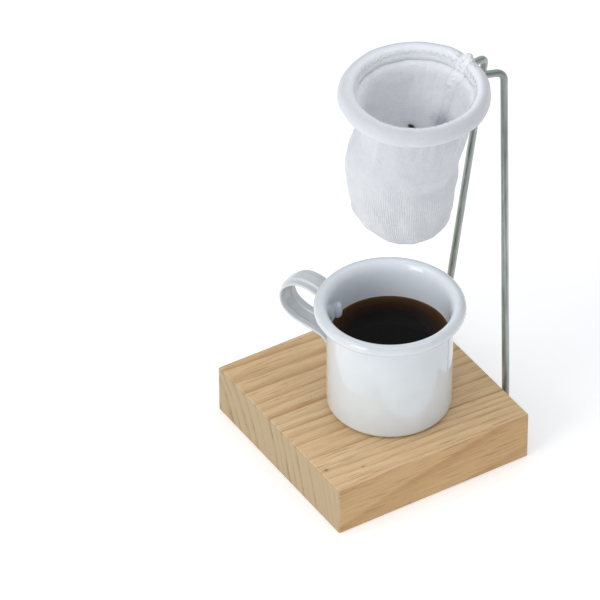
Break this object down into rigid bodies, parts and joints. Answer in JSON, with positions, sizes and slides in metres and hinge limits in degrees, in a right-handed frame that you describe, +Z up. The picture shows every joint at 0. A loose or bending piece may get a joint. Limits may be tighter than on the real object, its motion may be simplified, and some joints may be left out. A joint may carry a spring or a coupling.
{
  "type": "pour over dripper",
  "caption": "Single-serving cloth pour-over dripper: bent-wire stand on a pine block, hemmed cotton filter bag on the stand's ring, and an enamel mug of coffee below it.",
  "frame": {"origin": "centre of the block's underside", "axes": "+Z up along the stand, +Y towards the stand's side of the block, +X along the block's width, with the mug's handle on the -X side"},
  "size_m": [0.092, 0.1023, 0.1688],
  "materials": {
    "pine": "bare, sanded",
    "galvanised_wire": "galvanised, dull",
    "cotton_knit": "knitted",
    "cotton_thread": "sewing thread",
    "enamel": "glossy white enamel",
    "coffee": "still liquid surface"
  },
  "bodies": {
    "base": {"wood_base": "pine"},
    "stand": {"stand_wire": "galvanised_wire", "filter_bag": "cotton_knit", "filter_hem": "cotton_knit", "back_seam": "cotton_knit", "hem_stitching": "cotton_thread"},
    "mug": {"mug_body": "enamel", "mug_handle": "enamel", "handle_rivet_upper": "enamel", "handle_rivet_lower": "enamel", "coffee": "coffee"}
  },
  "joints": [
    {"name": "stand_pull", "type": "slide", "parent": "base", "child": "stand", "axis": [0, 1, 0], "range_m": [0, 0.02]},
    {"name": "mug_slide", "type": "slide", "parent": "base", "child": "mug", "axis": [0, -1, 0], "range_m": [0, 0.045]}
  ]
}
